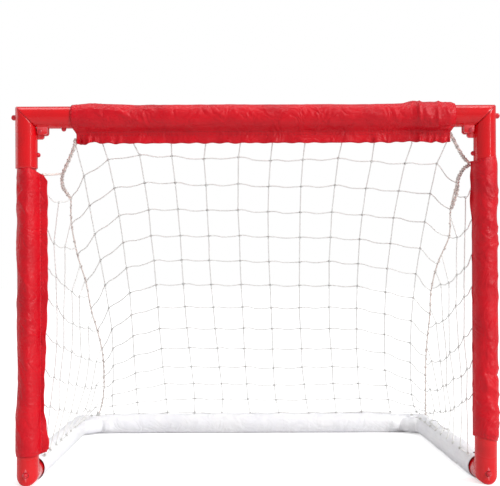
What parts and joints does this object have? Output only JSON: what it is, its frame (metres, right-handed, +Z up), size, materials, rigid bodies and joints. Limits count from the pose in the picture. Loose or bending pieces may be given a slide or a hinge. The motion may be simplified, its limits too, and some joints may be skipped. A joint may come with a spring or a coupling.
{
  "type": "folding hockey goal",
  "caption": "Small folding street hockey goal: red tube frame with mitred corners that hinge and lock by buttons, cloth sleeves and a knotted net",
  "frame": {"origin": "on the floor under the middle of the goal's box, buttons included", "axes": "+Z up, +X along the crossbar to the right as seen from the mouth, +Y from the mouth to the back bar"},
  "size_m": [0.6206, 0.4706, 0.4832],
  "materials": {
    "red_head": "glossy moulded plastic",
    "red_button": "glossy moulded plastic",
    "red_snap": "glossy paint on spring steel",
    "red_tube": "glossy powder coat on steel tube",
    "red_cloth": "satin woven nylon",
    "pale_cloth": "matte woven nylon, off-white with a lavender tint",
    "twine": "matte twisted twine, off-white",
    "pin_steel": "bright zinc plating"
  },
  "bodies": {
    "base": {"left_rail_tube": "red_tube", "right_rail_tube": "red_tube", "back_bar_tube": "red_tube", "left_rail_sleeve": "pale_cloth", "right_rail_sleeve": "pale_cloth", "back_bar_sleeve": "pale_cloth", "front_left_fork_head": "red_head", "front_right_fork_head": "red_head", "front_left_hinge_pin": "pin_steel", "front_right_hinge_pin": "pin_steel", "rear_left_fork_head": "red_head", "rear_right_fork_head": "red_head", "rear_left_knuckle_head": "red_head", "rear_right_knuckle_head": "red_head", "rear_left_hinge_pin": "pin_steel", "rear_right_hinge_pin": "pin_steel", "back_net": "twine", "left_side_net": "twine", "right_side_net": "twine"},
    "front_frame": {"crossbar_tube": "red_tube", "left_post_tube": "red_tube", "right_post_tube": "red_tube", "crossbar_sleeve": "red_cloth", "left_post_sleeve": "red_cloth", "right_post_sleeve": "red_cloth", "top_left_fork_head": "red_head", "top_right_fork_head": "red_head", "top_left_knuckle_head": "red_head", "top_right_knuckle_head": "red_head", "top_left_hinge_pin": "pin_steel", "top_right_hinge_pin": "pin_steel", "front_left_knuckle_head": "red_head", "front_right_knuckle_head": "red_head"},
    "top_left_latch": {"top_left_latch_button": "red_button"},
    "top_right_latch": {"top_right_latch_button": "red_button"},
    "front_left_latch": {"front_left_latch_button": "red_button"},
    "front_right_latch": {"front_right_latch_button": "red_button"},
    "rear_left_latch": {"rear_left_latch_button": "red_button"},
    "rear_right_latch": {"rear_right_latch_button": "red_button"},
    "top_left_crossbar_snap": {"top_left_crossbar_snap": "red_snap"},
    "top_right_crossbar_snap": {"top_right_crossbar_snap": "red_snap"},
    "top_left_post_snap": {"top_left_post_snap": "red_snap"},
    "top_right_post_snap": {"top_right_post_snap": "red_snap"},
    "front_left_post_snap": {"front_left_post_snap": "red_snap"},
    "front_right_post_snap": {"front_right_post_snap": "red_snap"},
    "front_left_rail_snap": {"front_left_rail_snap": "red_snap"},
    "front_right_rail_snap": {"front_right_rail_snap": "red_snap"},
    "rear_left_rail_snap": {"rear_left_rail_snap": "red_snap"},
    "rear_right_rail_snap": {"rear_right_rail_snap": "red_snap"},
    "rear_left_back_bar_snap": {"rear_left_back_bar_snap": "red_snap"},
    "rear_right_back_bar_snap": {"rear_right_back_bar_snap": "red_snap"}
  },
  "joints": [
    {"name": "frame_fold", "type": "hinge", "parent": "base", "child": "front_frame", "pos_m": [0, -0.1974, 0.0326], "axis": [-1, 0, 0], "range_deg": [0, 90], "deforming": ["back_net", "left_side_net", "right_side_net"]},
    {"name": "top_left_latch_press", "type": "slide", "parent": "front_frame", "child": "top_left_latch", "axis": [1, 0, 0], "range_m": [0, 0.0055], "stiffness_N_per_m": 300, "springref_m": -0.01},
    {"name": "top_right_latch_press", "type": "slide", "parent": "front_frame", "child": "top_right_latch", "axis": [-1, 0, 0], "range_m": [0, 0.0055], "stiffness_N_per_m": 300, "springref_m": -0.01},
    {"name": "front_left_latch_press", "type": "slide", "parent": "front_frame", "child": "front_left_latch", "axis": [0, 1, 0], "range_m": [0, 0.0055], "stiffness_N_per_m": 300, "springref_m": -0.01},
    {"name": "front_right_latch_press", "type": "slide", "parent": "front_frame", "child": "front_right_latch", "axis": [0, 1, 0], "range_m": [0, 0.0055], "stiffness_N_per_m": 300, "springref_m": -0.01},
    {"name": "rear_left_latch_press", "type": "slide", "parent": "base", "child": "rear_left_latch", "axis": [0, -1, 0], "range_m": [0, 0.0055], "stiffness_N_per_m": 300, "springref_m": -0.01},
    {"name": "rear_right_latch_press", "type": "slide", "parent": "base", "child": "rear_right_latch", "axis": [0, -1, 0], "range_m": [0, 0.0055], "stiffness_N_per_m": 300, "springref_m": -0.01},
    {"name": "top_left_crossbar_snap_press", "type": "slide", "parent": "front_frame", "child": "top_left_crossbar_snap", "axis": [0, 0, 1], "range_m": [0, 0.0056], "stiffness_N_per_m": 400, "springref_m": -0.01},
    {"name": "top_right_crossbar_snap_press", "type": "slide", "parent": "front_frame", "child": "top_right_crossbar_snap", "axis": [0, 0, 1], "range_m": [0, 0.0056], "stiffness_N_per_m": 400, "springref_m": -0.01},
    {"name": "top_left_post_snap_press", "type": "slide", "parent": "front_frame", "child": "top_left_post_snap", "axis": [-1, 0, 0], "range_m": [0, 0.0056], "stiffness_N_per_m": 400, "springref_m": -0.01},
    {"name": "top_right_post_snap_press", "type": "slide", "parent": "front_frame", "child": "top_right_post_snap", "axis": [1, 0, 0], "range_m": [0, 0.0056], "stiffness_N_per_m": 400, "springref_m": -0.01},
    {"name": "front_left_post_snap_press", "type": "slide", "parent": "front_frame", "child": "front_left_post_snap", "axis": [0, -1, 0], "range_m": [0, 0.0056], "stiffness_N_per_m": 400, "springref_m": -0.01},
    {"name": "front_right_post_snap_press", "type": "slide", "parent": "front_frame", "child": "front_right_post_snap", "axis": [0, -1, 0], "range_m": [0, 0.0056], "stiffness_N_per_m": 400, "springref_m": -0.01},
    {"name": "front_left_rail_snap_press", "type": "slide", "parent": "base", "child": "front_left_rail_snap", "axis": [0, 0, -1], "range_m": [0, 0.0056], "stiffness_N_per_m": 400, "springref_m": -0.01},
    {"name": "front_right_rail_snap_press", "type": "slide", "parent": "base", "child": "front_right_rail_snap", "axis": [0, 0, -1], "range_m": [0, 0.0056], "stiffness_N_per_m": 400, "springref_m": -0.01},
    {"name": "rear_left_rail_snap_press", "type": "slide", "parent": "base", "child": "rear_left_rail_snap", "axis": [-1, 0, 0], "range_m": [0, 0.0056], "stiffness_N_per_m": 400, "springref_m": -0.01},
    {"name": "rear_right_rail_snap_press", "type": "slide", "parent": "base", "child": "rear_right_rail_snap", "axis": [1, 0, 0], "range_m": [0, 0.0056], "stiffness_N_per_m": 400, "springref_m": -0.01},
    {"name": "rear_left_back_bar_snap_press", "type": "slide", "parent": "base", "child": "rear_left_back_bar_snap", "axis": [0, 1, 0], "range_m": [0, 0.0056], "stiffness_N_per_m": 400, "springref_m": -0.01},
    {"name": "rear_right_back_bar_snap_press", "type": "slide", "parent": "base", "child": "rear_right_back_bar_snap", "axis": [0, 1, 0], "range_m": [0, 0.0056], "stiffness_N_per_m": 400, "springref_m": -0.01}
  ]
}
